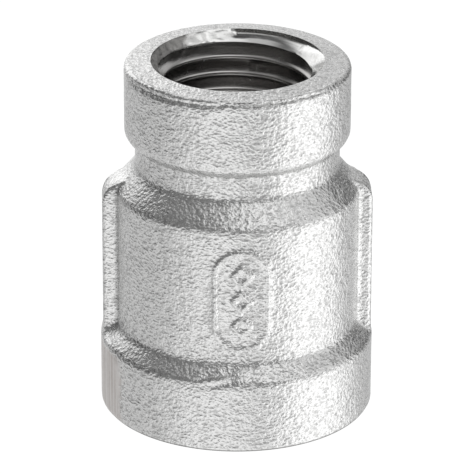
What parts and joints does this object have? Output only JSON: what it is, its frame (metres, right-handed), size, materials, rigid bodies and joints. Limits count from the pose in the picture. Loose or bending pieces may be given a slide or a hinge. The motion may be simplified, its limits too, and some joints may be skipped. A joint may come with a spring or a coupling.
{
  "type": "concentric reducer",
  "caption": "Cast stainless steel banded reducing socket with taper pipe thread in both ends and lengthwise wrench ribs, joining two pipe sizes in line.",
  "frame": {"origin": "middle of the large end's face, on the thread axis", "axes": "+Z along the thread axis towards the small end, wrench ribs at +X and -X, cast mark facing -Y"},
  "size_m": [0.0218, 0.0218, 0.0289],
  "materials": {
    "cast_stainless": "fine blasted casting, bright machined countersinks and threads"
  },
  "bodies": {
    "root": {"reducer_casting": "cast_stainless"}
  },
  "joints": []
}
